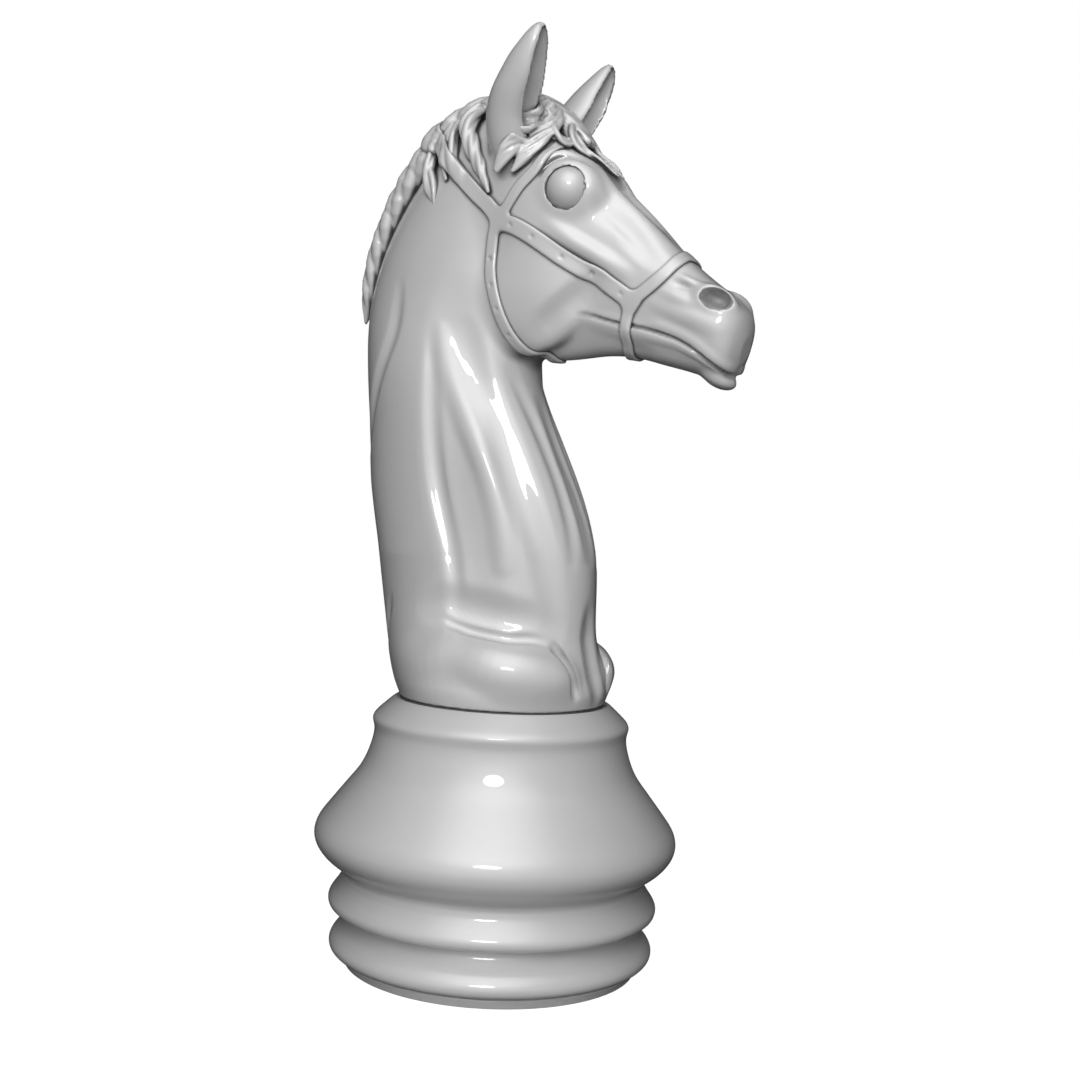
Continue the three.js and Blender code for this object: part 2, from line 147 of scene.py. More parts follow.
def clear_coat(name, grey, with_crease_shade=False):
    """Grey moulded plastic under gloss: faint clouding in the colour, faint orange peel, and on
    request painted shade that darkens the colour in creases.
    """
    material = bpy.data.materials.new(name)
    material.use_nodes = True
    nodes, links = material.node_tree.nodes, material.node_tree.links
    shader = nodes["Principled BSDF"]
    place = nodes.new("ShaderNodeTexCoord")
    clouds = nodes.new("ShaderNodeTexNoise")
    clouds.inputs["Scale"].default_value = 9.0
    clouds.inputs["Detail"].default_value = 4.0
    tint = nodes.new("ShaderNodeValToRGB")
    tint.color_ramp.elements[0].position = 0.3
    tint.color_ramp.elements[0].color = (*[grey * 0.95] * 3, 1.0)
    tint.color_ramp.elements[1].position = 0.75
    tint.color_ramp.elements[1].color = (*[grey * 1.03] * 3, 1.0)
    peel = nodes.new("ShaderNodeTexNoise")
    peel.inputs["Scale"].default_value = 420.0
    peel.inputs["Detail"].default_value = 1.0
    press = nodes.new("ShaderNodeBump")
    press.inputs["Strength"].default_value = 0.05
    press.inputs["Distance"].default_value = 0.0006
    links.new(place.outputs["Object"], clouds.inputs["Vector"])
    links.new(place.outputs["Object"], peel.inputs["Vector"])
    links.new(clouds.outputs["Fac"], tint.inputs["Fac"])
    links.new(tint.outputs["Color"], shader.inputs["Base Color"])
    if with_crease_shade:
        # Painted shade: the colour is multiplied darker where open_air is low, in creases and
        # between parts.
        air = nodes.new("ShaderNodeAttribute")
        air.attribute_name = "open_air"
        painted_crease_shade = nodes.new("ShaderNodeMapRange")
        painted_crease_shade.inputs["From Min"].default_value = 0.35
        painted_crease_shade.inputs["From Max"].default_value = 0.85
        painted_crease_shade.inputs["To Min"].default_value = 0.12
        darker = nodes.new("ShaderNodeMix")
        darker.data_type = "RGBA"
        darker.blend_type = "MULTIPLY"
        darker.inputs["Factor"].default_value = 1.0
        links.new(air.outputs["Fac"], painted_crease_shade.inputs["Value"])
        links.new(tint.outputs["Color"], darker.inputs["A"])
        links.new(painted_crease_shade.outputs["Result"], darker.inputs["B"])
        links.new(darker.outputs["Result"], shader.inputs["Base Color"])
    links.new(peel.outputs["Fac"], press.inputs["Height"])
    links.new(press.outputs["Normal"], shader.inputs["Normal"])
    shader.inputs["Roughness"].default_value = 0.55
    shader.inputs["Specular IOR Level"].default_value = 1.0
    shader.inputs["Coat Weight"].default_value = 1.0
    shader.inputs["Coat Roughness"].default_value = 0.03
    return material


def bent_line(keys, count):
    """Points of a smooth curve through the keys (a centripetal Catmull-Rom curve)."""
    pts = [np.array(k, float) for k in keys]
    pts = [2 * pts[0] - pts[1], *pts, 2 * pts[-1] - pts[-2]]
    knots = [0.0]
    for a, b in zip(pts, pts[1:]):
        knots.append(knots[-1] + math.sqrt(np.linalg.norm(b - a)))
    out = []
    for t in np.linspace(knots[1], knots[-2], count):
        i = min(max(int(np.searchsorted(knots, t, side="right")) - 1, 1), len(pts) - 3)
        level = pts[i - 1 : i + 3]
        spots = knots[i - 1 : i + 3]
        for step in (1, 2, 3):
            level = [
                level[j]
                + (level[j + 1] - level[j]) * (t - spots[j]) / (spots[j + step] - spots[j])
                for j in range(len(level) - 1)
            ]
        out.append(tuple(level[0]))
    return out


def turn_piece(name, profile, material, sides=192, crease=35.0):
    """Revolve a closed profile of (radius, height) in millimetres about the upright axis."""
    shape = bmesh.new()
    rings = []
    for r, z in profile:
        if r < 1e-6:
            rings.append([shape.verts.new((0.0, 0.0, z / 1000.0))])
            continue
        ring = []
        for k in range(sides):
            angle = 2 * math.pi * k / sides
            spot = (r * math.cos(angle) / 1000.0, r * math.sin(angle) / 1000.0, z / 1000.0)
            ring.append(shape.verts.new(spot))
        rings.append(ring)
    pairs = list(zip(rings, rings[1:]))
    if len(rings[0]) > 1 and len(rings[-1]) > 1:
        pairs.append((rings[-1], rings[0]))
    for low, high in pairs:
        for k in range(sides):
            n = (k + 1) % sides
            corners = [low[k % len(low)], low[n % len(low)]]
            corners += [high[n % len(high)], high[k % len(high)]]
            face = list(dict.fromkeys(corners))
            if len(face) > 2:
                shape.faces.new(face)
    bmesh.ops.recalc_face_normals(shape, faces=shape.faces)
    mesh = bpy.data.meshes.new(name)
    shape.to_mesh(mesh)
    shape.free()
    for face in mesh.polygons:
        face.use_smooth = True
    mesh.set_sharp_from_angle(angle=math.radians(crease))
    mesh.materials.append(material)
    piece = bpy.data.objects.new(name, mesh)
    collection.objects.link(piece)
    return piece


grey_gloss = clear_coat("grey_gloss", 0.30)
ring_low = bent_line(
    [(123.4, 8.4), (126.0, 9.2), (130.4, 11.4), (133.2, 14.4), (134.0, 17.6), (133.7, 20.0),
     (132.0, 23.6), (128.6, 27.6), (124.4, 31.5), (121.2, 35.4), (119.0, 39.4), (118.0, 43.6)], 36
)
ring_high = bent_line(
    [(118.2, 44.0), (124.6, 44.8), (131.4, 46.6), (135.0, 49.2), (136.1, 52.6), (135.8, 55.4),
     (133.9, 59.0), (131.0, 63.0), (128.4, 67.0), (126.4, 70.8), (125.4, 75.4)], 40
)
bell = bent_line(
    [(125.3, 75.8), (126.6, 78.8), (130.0, 82.0), (137.6, 87.2), (143.8, 93.0), (148.4, 100.0),
     (150.0, 107.0), (149.1, 113.0), (147.0, 118.0), (143.6, 123.2), (139.2, 129.0),
     (133.8, 136.0), (124.4, 148.0), (116.0, 159.0), (111.0, 168.5), (107.4, 178.5),
     (105.3, 187.0), (104.8, 194.0), (105.6, 198.0)], 76
)
collar = bent_line(
    [(105.6, 198.0), (106.3, 201.5), (105.6, 204.2), (103.4, 207.2), (98.4, 212.0),
     (94.0, 216.0), (89.5, 219.6), (87.4, 220.4), (86.2, 219.6)], 30
)
inside = [
    (62.0, 219.0), (62.0, 211.0), (76.0, 211.0), (96.0, 208.0), (99.0, 188.0), (106.0, 162.0),
    (136.0, 124.0), (142.0, 108.0), (118.0, 76.0), (112.0, 44.0), (117.0, 20.0), (100.0, 17.5),
    (100.0, 10.2), (120.6, 10.2), (120.6, 8.4),
]
outside = ring_low + ring_high[1:] + bell[1:] + collar[1:]
base_moulding = turn_piece("base_moulding", outside + inside, grey_gloss)
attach(base_moulding, "base")
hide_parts("base_shell")

# ---- Foot plate ---------------------------------------------------------------------------------
# A shallow disc of the same grey plastic that closes the bottom. It has a low rim that centres it
# in the base moulding, and six screws hold it.

foot_side = bent_line(
    [(119.6, 0.5), (120.6, 0.8), (121.2, 2.0), (122.2, 4.6), (123.0, 7.2), (122.6, 7.9)], 12
)
foot_rim = [(99.5, 7.9), (99.5, 14.0), (93.0, 14.0), (91.0, 9.0)]
foot_disc = turn_piece("foot_disc", [(0.0, 0.5), *foot_side, *foot_rim, (0.0, 9.0)], grey_gloss)
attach(foot_disc, "base")
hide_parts("foot_plate")

# ---- Spigot -------------------------------------------------------------------------------------
# The neck of the base that the bust turns on, moulded on its own in the same plastic and welded in
# from inside. Its top is the mouth that the sand is poured in by.

spigot = turn_piece("spigot_neck", [
    (72.0, 205.0), (72.0, 209.6), (71.2, 210.4), (61.0, 210.4), (60.0, 211.4), (60.0, 261.6),
    (59.4, 263.4), (57.4, 265.4), (55.6, 266.0), (41.0, 266.0), (40.0, 267.0), (40.0, 283.0),
    (39.0, 284.0), (35.0, 284.0), (34.0, 283.0), (34.0, 261.0), (54.0, 258.0), (54.0, 205.0),
], grey_gloss, crease=50.0)
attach(spigot, "base")
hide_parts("spigot")

# ---- Filler cap ---------------------------------------------------------------------------------
# A screw cap of unpainted dark plastic with twelve finger dips round its skirt and a bar to turn
# it by. It closes the sand filler and sits hidden inside the neck.


def plain_stuff(name, colour, rough, grain, depth, metallic=0.0, spread=0.12, specular=0.4):
    """Uncoated material: two tones of one colour, clouded, with a fine grain pressed in."""
    material = bpy.data.materials.new(name)
    material.use_nodes = True
    nodes, links = material.node_tree.nodes, material.node_tree.links
    shader = nodes["Principled BSDF"]
    place = nodes.new("ShaderNodeTexCoord")
    mottle = nodes.new("ShaderNodeTexNoise")
    mottle.inputs["Scale"].default_value = grain * 0.12
    mottle.inputs["Detail"].default_value = 5.0
    tint = nodes.new("ShaderNodeValToRGB")
    tint.color_ramp.elements[0].color = (*[c * (1 - spread) for c in colour], 1.0)
    tint.color_ramp.elements[1].color = (*[c * (1 + spread) for c in colour], 1.0)
    specks = nodes.new("ShaderNodeTexNoise")
    specks.inputs["Scale"].default_value = grain
    specks.inputs["Detail"].default_value = 3.0
    press = nodes.new("ShaderNodeBump")
    press.inputs["Strength"].default_value = 0.35
    press.inputs["Distance"].default_value = depth
    links.new(place.outputs["Object"], mottle.inputs["Vector"])
    links.new(place.outputs["Object"], specks.inputs["Vector"])
    links.new(mottle.outputs["Fac"], tint.inputs["Fac"])
    links.new(tint.outputs["Color"], shader.inputs["Base Color"])
    links.new(specks.outputs["Fac"], press.inputs["Height"])
    links.new(press.outputs["Normal"], shader.inputs["Normal"])
    shader.inputs["Roughness"].default_value = rough
    shader.inputs["Metallic"].default_value = metallic
    shader.inputs["Specular IOR Level"].default_value = specular
    return material


cap_plastic = plain_stuff("cap_plastic", (0.16, 0.16, 0.165), 0.45, 900.0, 0.0001)
cap_top = 292.0
cap = turn_piece("grip_cap", [
    (0.0, 287.4), (41.2, 287.4), (41.2, 268.0), (46.2, 268.0), (47.0, 268.8), (47.0, 289.6),
    (46.4, 291.0), (45.0, cap_top), (0.0, cap_top),
], cap_plastic, sides=144, crease=40.0)
dips, dip_share, skirt_radius = 12, 0.06, 0.044
for vertex in cap.data.vertices:
    x, y, _ = vertex.co
    if math.hypot(x, y) > skirt_radius:
        dip = 1.0 - dip_share * max(0.0, math.cos(dips * math.atan2(y, x))) ** 3
        vertex.co.x, vertex.co.y = x * dip, y * dip
bar_size, bar_middle = Vector((58.0, 9.0, 9.0)), Vector((0.0, 0.0, cap_top + 3.5))
grip = bmesh.new()
grip.from_mesh(cap.data)
bar = bmesh.ops.create_cube(grip, size=1.0)["verts"]
for vertex in bar:
    vertex.co = (vertex.co * bar_size + bar_middle) / 1000
edges = [e for e in grip.edges if all(v in bar for v in e.verts)]
bmesh.ops.bevel(grip, geom=edges, offset=0.0015, segments=3, affect="EDGES", profile=0.5)
grip.to_mesh(cap.data)
grip.free()
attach(cap, "cap")
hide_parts("filler_cap")

# ---- Seat ring ----------------------------------------------------------------------------------
# A flat dark washer that lies on the collar round the spigot. The bust rests and turns on it, and
# nothing fixes it.

rubber = plain_stuff("rubber", (0.035, 0.035, 0.037), 0.7, 1200.0, 0.0001, spread=0.25)
seat = turn_piece("seat_washer", [
    (61.4, 219.6), (61.8, 219.3), (84.4, 219.3), (85.0, 219.8), (85.0, 220.5), (84.4, 221.0),
    (61.8, 221.0), (61.4, 220.7),
], rubber, crease=60.0)
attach(seat, "seat")
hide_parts("seat_ring")

# ---- Foot gasket, screws, rubber feet, sand, socket ---------------------------------------------
# Small parts that keep their workshop shapes: pan-head steel screws, stick-on rubber feet, rubber
# gasket and seal, the plastic socket in the bust, and the dry sand that weights the base.

steel = plain_stuff("steel", (0.55, 0.55, 0.56), 0.3, 1500.0, 0.00003, metallic=1.0, spread=0.06)
dry_sand = plain_stuff("dry_sand", (0.52, 0.42, 0.28), 0.95, 1600.0, 0.0006, spread=0.3)
screws = [f"foot_screw_{i}" for i in range(1, 7)] + [f"socket_screw_{i}" for i in range(1, 5)]
feet = [f"rubber_foot_{i}" for i in range(1, 6)]
for names, stuff, slot_name in (
    (["foot_gasket", "cap_seal", *feet], rubber, "rubber"),
    (screws, steel, "steel"),
    (["neck_socket"], cap_plastic, "cap"),
    (["sand_ballast"], dry_sand, "sand"),
):
    for name in names:
        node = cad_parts[name]
        node.data.materials.clear()
        node.data.materials.append(stuff)
        for face in node.data.polygons:
            face.use_smooth = True
        node.data.set_sharp_from_angle(angle=math.radians(35.0))

# ---- Bust ---------------------------------------------------------------------------------------
# The hollow horse's neck and head, modelled once in clay, cast, and moulded in two halves that are
# welded along the middle. The ears are part of the same mouldings.


def merge(a, b, soft):
    """Join two clays with a fillet about as wide as soft."""
    h = np.clip(0.5 + 0.5 * (b - a) / soft, 0.0, 1.0)
    return b + (a - b) * h - soft * h * (1.0 - h)


def pare(a, b, soft):
    """Cut clay b out of clay a and round the edge by soft."""
    return -merge(-a, b, soft)


class Clay:
    """A block of soft clay: how far each grid place is from the skin, in mm, less than 0 inside."""

    def __init__(self, low, high, step):
        self.low = np.array(low, float)
        self.step = step
        self.count = np.ceil((np.array(high) - self.low) / step).astype(int) + 1
        self.reach = 16 * step
        self.block = np.full(self.count, self.reach, np.float32)
        self.skins = []

    def near(self, low, high):
        """The index ranges and the places of the part of the block between two corners."""
        a = np.floor((np.array(low) - self.low) / self.step).astype(int)
        b = np.ceil((np.array(high) - self.low) / self.step).astype(int) + 1
        a = np.clip(a, 0, self.count - 2)
        b = np.clip(b, a + 2, self.count)
        axes = [self.low[i] + self.step * np.arange(a[i], b[i]) for i in range(3)]
        places = np.stack(np.meshgrid(*axes, indexing="ij"), -1)
        return tuple(slice(a[i], b[i]) for i in range(3)), places

    def put(self, spot, shape, soft, cut=False):
        join = pare if cut else merge
        self.block[spot] = join(self.block[spot], shape.astype(np.float32), soft)

    def skin(self, stations, make_ring, soft, cut=False, steps=8):
        """Add, or cut out, a closed skin through a row of stations, each a list for make_ring."""
        rings = [make_ring(row) for row in bent_line(stations, (len(stations) - 1) * steps + 1)]
        count = len(rings[0])
        points = np.concatenate([*rings, [rings[0].mean(0)], [rings[-1].mean(0)]])
        faces = []
        last = (len(rings) - 1) * count
        for i in range(count):
            j = (i + 1) % count
            for a in range(0, last, count):
                faces += [(a + i, a + j, a + j + count), (a + i, a + j + count, a + i + count)]
            faces += [(len(points) - 2, j, i), (len(points) - 1, last + i, last + j)]
        grid = openvdb.FloatGrid.createLevelSetFromPolygons(
            (points - self.low).astype(np.float32),
            triangles=np.array(faces, np.uint32),
            transform=openvdb.createLinearTransform(voxelSize=self.step),
            halfWidth=16,
        )
        shape = np.full(self.count, self.reach, np.float32)
        grid.copyToArray(shape, ijk=(0, 0, 0))
        self.put(..., shape, soft, cut)

    def egg(self, centre, radii, soft, tilt=0.0, yaw=0.0, cut=False):
        """Add or cut an egg on both sides: tilt turns it nose down, yaw turns it outwards."""
        for side in (-1, 1) if centre[1] else (1,):
            middle = np.array((centre[0], side * centre[1], centre[2]))
            spot, places = self.near(middle - max(radii) - soft, middle + max(radii) + soft)
            x, y, z = np.moveaxis(places - middle, -1, 0)
            ct, st = math.cos(tilt), math.sin(tilt)
            cy, sy = math.cos(yaw), side * math.sin(yaw)
            x, y = cy * x + sy * y, -sy * x + cy * y
            x, z = ct * x - st * z, st * x + ct * z
            a, b, c = radii
            near = np.sqrt((x / a) ** 2 + (y / b) ** 2 + (z / c) ** 2)
            slope = np.sqrt((x / a**2) ** 2 + (y / b**2) ** 2 + (z / c**2) ** 2)
            self.put(spot, near * (near - 1.0) / np.maximum(slope, 1e-6), soft, cut)

    def depth(self, points):
        """The distance from the skin at free places, read between the grid's places."""
        g = np.clip((points - self.low) / self.step, 0, self.count - 1.001)
        i = g.astype(int)
        f = g - i
        x, y, z = i[..., 0], i[..., 1], i[..., 2]
        total = 0.0
        for dx, dy, dz in np.ndindex(2, 2, 2):
            share = np.prod(np.where((dx, dy, dz), f, 1 - f), axis=-1)
            total = total + share * self.block[x + dx, y + dy, z + dz]
        return total

    def facing(self, points, span=1.0):
        """Unit directions straight out of the clay."""
        ways = np.eye(3) * self.step * span
        out = np.stack([self.depth(points + w) - self.depth(points - w) for w in ways], -1)
        return out / np.maximum(np.linalg.norm(out, axis=-1, keepdims=True), 1e-6)

    def onto(self, points):
        """Free places moved onto the skin by the shortest way."""
        points = np.array(points, float)
        for _ in range(5):
            points = points - 0.9 * self.depth(points)[:, None] * self.facing(points)
        return points

    def bar(self, middle, radius, soft, cut=False):
        """Add or cut a round bar whose middle line and radii are given."""
        middle = np.array(middle, float)
        radius = np.broadcast_to(radius, len(middle))
        room = radius.max() + soft + 2 * self.step
        spot, places = self.near(middle.min(0) - room, middle.max(0) + room)
        shape = np.full(places.shape[:3], self.reach)
        corner = places[0, 0, 0]
        for a, b, ra, rb in zip(middle, middle[1:], radius, radius[1:]):
            low = np.floor((np.minimum(a, b) - room - corner) / self.step).astype(int).clip(0)
            high = np.ceil((np.maximum(a, b) + room - corner) / self.step).astype(int).clip(1) + 1
            box = tuple(slice(i, j) for i, j in zip(low, high))
            away, step = places[box] - a, b - a
            t = np.clip((away @ step) / max(step @ step, 1e-6), 0, 1)
            near = np.linalg.norm(away - t[..., None] * step, axis=-1) - (ra + (rb - ra) * t)
            shape[box] = np.minimum(shape[box], near)
        self.put(spot, shape, soft, cut)

    def stroke(self, path, radius, height, soft, ends=0.35, mirror=True):
        """Lay a bar along the skin so that it stands height proud, or, for a height under 0, draw
        it through so that it cuts that deep. Both fade out towards the ends."""
        for side in (-1, 1) if mirror else (-1,):
            line = self.onto(bent_line([(x, -side * y, z) for x, y, z in path], 3 * len(path)))
            along = np.linspace(0, 1, len(line))
            fade = np.clip(np.minimum(along, 1 - along) / max(ends, 1e-3), 0, 1) ** 0.7
            sink = 0.4 + 0.25 * soft
            rise = (abs(height) + sink) * fade - sink
            cut = height < 0
            out = self.facing(line, 2.0) * ((radius - rise) if cut else (rise - radius))[:, None]
            self.bar(line + out, radius, soft, cut)

    def mesh(self, name, keep=None):
        """Mesh the clay's skin, shaded by the clay's own slopes; keep picks faces by middle."""
        grid = openvdb.FloatGrid()
        grid.background = self.reach
        grid.transform = openvdb.createLinearTransform(voxelSize=self.step)
        grid.copyFromArray(np.ascontiguousarray(self.block, dtype=np.float32))
        points, quads = grid.convertToQuads(isovalue=0.0)
        points, quads = points.astype(float) + self.low, quads.astype(int)
        edges = np.concatenate([quads[:, [i, (i + 1) % 4]] for i in range(4)])
        touching = np.bincount(edges.ravel(), minlength=len(points))
        for share in (0.5, -0.52, 0.5, -0.52):
            total = np.zeros_like(points)
            for axis in range(3):
                for a, b in ((0, 1), (1, 0)):
                    heap = np.bincount(edges[:, a], points[edges[:, b], axis], len(points))
                    total[:, axis] += heap
            points = points + share * (total / touching[:, None] - points)
        facing = self.facing(points, 1.5)
        if keep is not None:
            quads = quads[keep(points[quads].mean(1))]
            used, quads = np.unique(quads, return_inverse=True)
            points, facing, quads = points[used], facing[used], quads.reshape(-1, 4)
        mesh = bpy.data.meshes.new(name)
        mesh.vertices.add(len(points))
        mesh.vertices.foreach_set("co", (points / 1000.0).ravel())
        mesh.loops.add(quads.size)
        mesh.loops.foreach_set("vertex_index", quads.ravel())
        mesh.polygons.add(len(quads))
        mesh.polygons.foreach_set("loop_start", np.arange(0, quads.size, 4))
        mesh.polygons.foreach_set("use_smooth", np.ones(len(quads), bool))
        mesh.update(calc_edges=True)
        mesh.normals_split_custom_set_from_vertices(facing.tolist())
        mesh.materials.append(clay_gloss)
        self.skins.append((mesh, points, facing))
        piece = bpy.data.objects.new(name, mesh)
        collection.objects.link(piece)
        return piece


def ring_of(back, front, half_width, widest, fullness, count=72):
    """A closed ring across the middle plane between two points of the side view, in mm."""
    back, front = np.array(back, float), np.array(front, float)
    length = np.linalg.norm(front - back)
    along = (front - back) / length
    turn = np.linspace(0, 2 * np.pi, count, endpoint=False)
    c, s = np.cos(turn), np.sin(turn)
    power = np.where(c > 0, 2.0 / fullness[1], 2.0 / fullness[0])
    reach = np.where(c > 0, (1 - widest) * length, widest * length)
    t = np.sign(c) * np.abs(c) ** power * reach + widest * length
    y = np.sign(s) * np.abs(s) ** power * half_width
    return np.stack([back[0] + along[0] * t, y, back[1] + along[1] * t], 1)


def neck_ring(row):
    return ring_of(row[0:2], row[2:4], row[4], row[5], (row[6], 2.0))


def head_ring(row):
    return ring_of(row[0:2], row[2:4], row[4], row[5], (row[6], row[7]))


# clay_gloss carries the painted shade in the creases.
clay_gloss = clear_coat("clay_gloss", 0.30, with_crease_shade=True)
bust_clay = Clay((-168, -99, 212), (210, 99, 770), 1.55)
bust_clay.skin([
    (-85, 221.3, 85, 221.3, 85, 0.5, 2.0), (-92, 234, 88, 233, 86, 0.5, 2.0),
    (-100, 252, 84, 250, 81, 0.5, 2.0), (-107, 275, 78, 275, 73, 0.5, 2.0),
    (-114, 300, 77, 298, 68, 0.52, 2.0), (-125, 347, 75, 345, 65, 0.54, 1.95),
    (-136, 396, 60, 392, 63, 0.56, 1.9), (-141, 450, 36, 440, 61, 0.58, 1.85),
    (-147, 500, 18, 480, 57, 0.58, 1.8), (-148, 545, 16, 512, 51, 0.58, 1.8),
    (-137, 590, 18, 545, 47, 0.56, 1.8), (-117, 630, 20, 575, 43, 0.55, 1.8),
    (-90, 665, 24, 602, 39, 0.52, 1.9), (-58, 693, 30, 625, 36, 0.5, 2.0),
    (-28, 706, 36, 645, 32, 0.5, 2.0), (-6, 706, 40, 662, 20, 0.5, 2.0),
], neck_ring, 16.0)
bust_clay.skin([
    (-22, 690, -28, 590, 32, 0.45, 2.0, 2.0), (4, 706, -14, 556, 41, 0.45, 2.1, 2.0),
    (30, 691, 2, 522, 45, 0.42, 2.3, 2.0), (55, 668, 24, 504, 44, 0.36, 2.4, 2.0),
    (78, 647, 50, 502, 38, 0.38, 2.4, 2.0), (103, 624, 80, 505, 33, 0.42, 2.5, 2.1),
    (126, 602, 106, 504, 30, 0.44, 2.5, 2.2), (147, 582, 132, 498, 28.5, 0.46, 2.5, 2.3),
    (167, 565.5, 153, 493, 28.5, 0.44, 2.7, 2.3), (184, 553, 168, 489, 29, 0.42, 2.8, 2.3),
    (193, 546, 179, 487, 27.5, 0.44, 2.8, 2.3), (199.5, 538, 187.5, 488, 22.5, 0.46, 2.7, 2.3),
    (201.8, 530, 192, 493, 16, 0.48, 2.5, 2.3), (202, 521, 196.5, 500, 8, 0.5, 2.2, 2.2),
], head_ring, 14.0)

# The jaw's flat round muscle, the hollow in front of it, and the brow over the eye.
bust_clay.egg((25, 24, 556), (55, 22, 50), 7.0, tilt=-0.35)
bust_clay.egg((56, 26, 634), (30, 21, 25), 9.0, tilt=0.5)
jaw_hollow = [(86, -36, 560), (66, -42, 541), (50, -44, 527), (36, -42, 513)]
bust_clay.stroke(jaw_hollow, 13, -4.5, 8, 0.3)
bust_clay.stroke([(78, -34, 528), (104, -30, 522), (140, -28, 512)], 9, 2.2, 6, 0.3)
# The cheekbone, the edges of the nose bone and the hollow between them.
cheekbone = [(44, -46, 604), (64, -44, 592), (88, -38, 578), (112, -33, 564)]
bust_clay.stroke(cheekbone, 7, 4.2, 5, 0.35)
bust_clay.stroke([(88, -37, 612), (102, -34, 599), (118, -30, 584)], 5, 1.6, 4, 0.4)
bust_clay.stroke([(84, -34, 619), (106, -30, 599), (132, -27, 577)], 11, -2.8, 7, 0.35)
nose_edge = [(52, -20, 668), (84, -18, 640), (106, -15, 618), (136, -11, 590)]
bust_clay.stroke(nose_edge, 7, 2.0, 5, 0.3)
bust_clay.stroke([(60, -4, 664), (90, -3, 636), (120, -3, 608)], 10, -1.4, 6, 0.3)
# The muzzle: chin and lower lip, nostril swell and hole, folds behind the nostril, mouth.
bust_clay.egg((178, 0, 489), (15, 15, 8), 4.0, tilt=0.5)
bust_clay.egg((180, 19, 545), (17, 9, 11), 6.0, tilt=0.45, yaw=-0.3)
bust_clay.egg((182, 23.5, 545.5), (12.5, 12, 8), 1.2, tilt=0.3, yaw=-0.35, cut=True)
bust_clay.egg((180, 14, 547), (9, 12, 6), 3.0, tilt=0.3, yaw=-0.35, cut=True)
bust_clay.stroke([(150, -26, 566), (160, -25, 561), (170, -23, 559)], 3.5, 1.8, 3, 0.4)
bust_clay.stroke([(146, -28, 560), (156, -27, 556), (166, -26, 553)], 2.5, -1.6, 2.5, 0.4)
bust_clay.stroke([(136, -29, 552), (152, -29, 546), (168, -30, 540)], 5, 2.0, 3.5, 0.4)
upper_lip = [(130, -30, 545), (150, -30, 536), (172, -30, 528), (186, -27, 522)]
bust_clay.stroke(upper_lip, 7, 2.0, 5, 0.4)
mouth = [
    (66, -37, 536), (87, -32, 531), (107, -29, 527), (128, -28, 523), (147, -28, 517),
    (164, -27, 509), (174, -26, 502), (184, -20, 494.5), (190, -9, 490), (191.5, 0, 488.5),
]
bust_clay.stroke([(x, y, z + 5) for x, y, z in mouth[3:]], 5, 1.6, 3, 0.1)
bust_clay.stroke([(x, y, z - 5) for x, y, z in mouth[2:8]], 5, 1.6, 3, 0.3)
bust_clay.stroke(mouth, 1.6, -2.6, 1.2, 0.12)
# The eye: a socket for the ball and the folds of the lid over it.
eye_spot, eye_radius = (57.0, 34.0, 632.5), 18.0
bust_clay.egg(eye_spot, (eye_radius + 0.5,) * 3, 1.0, cut=True)
lid_fold = [(32, -47, 638), (38, -44, 651), (50, -38, 660), (64, -33, 659), (78, -30, 649)]
bust_clay.stroke(lid_fold, 2.2, -3.2, 1.6, 0.3)
brow_fold = [(32, -43, 648), (42, -37, 661), (55, -30, 666), (70, -26, 661)]
bust_clay.stroke(brow_fold, 3.0, 2.6, 2.0, 0.4)
bust_clay.stroke([(36, -38, 661), (48, -29, 669), (62, -23, 668)], 2.0, -1.6, 2.0, 0.4)

# Ears: hollow leaves that lean forwards and open forwards.


def ear_ring(row):
    x, y, z, deep, wide, turn = row
    angle = np.linspace(0, 2 * np.pi, 48, endpoint=False)
    u, v = np.cos(angle) * deep, np.sin(angle) * wide
    ct, st = math.cos(turn), math.sin(turn)
    return np.stack([x + ct * u - st * v, y + st * u + ct * v, z - 0.28 * u], 1)


ear_rows = [
    (-1, 24, 640, 7, 10), (0, 34, 658, 13, 13), (2, 39.5, 674, 18, 15), (5, 44, 690, 19, 16),
    (13, 49, 705, 20.5, 16.5), (22, 53, 719, 19.5, 15.6), (28, 56, 731.5, 16.0, 13.8),
    (33.2, 58, 741, 12.4, 11.4), (37, 59.4, 749, 8.8, 8.4), (39.2, 60, 754.6, 5.0, 5.0),
    (39.8, 60, 757.2, 1.8, 1.8),
]
hollow_shares = (0.2, 0.7, 0.95, 1.0, 1.0, 0.96, 0.86, 0.6)
for side in (-1, 1):
    turn = -0.08 * side
    leaf = [(x, side * y, z, d, w, turn) for x, y, z, d, w in ear_rows]
    hollow = [
        (x + 0.74 * d, side * y, z - 1, 0.84 * d * s, 0.72 * w * s, turn)
        for (x, y, z, d, w), s in zip(ear_rows[2:10], hollow_shares)
    ]
    bust_clay.skin(leaf, ear_ring, 7.0)
    bust_clay.skin(hollow, ear_ring, 1.6, cut=True)

# The neck: the back muscle, the long grooves and tendons that fan down from behind the jaw, and
# the folded roll of the breast on each side of the middle.
back_groove = [
    (-58, -50, 540), (-57, -50, 521), (-53, -54, 484), (-49, -57, 448), (-41, -61, 404),
    (-32, -63, 375), (-21, -67, 347), (-13, -71, 316), (-10, -74, 292),
]
bust_clay.stroke([(x + 22, y, z) for x, y, z in back_groove], 46, -3.0, 14, 0.3)
bust_clay.stroke([(x + 4, y, z) for x, y, z in back_groove[1:]], 7, -3.8, 5, 0.45)
back_crease = [
    (-95, -44, 560), (-95, -44, 522), (-108, -41, 490), (-121, -32, 458), (-130, -20, 425),
]
bust_clay.stroke(back_crease, 7, -2.8, 5, 0.3)
long_ridge = [
    (-48, -52, 520), (-30, -53, 475), (-12, -54, 441), (7, -54, 407), (20, -57, 373),
    (28, -58, 335),
]
bust_clay.stroke(long_ridge, 7, 2.2, 9, 0.45)
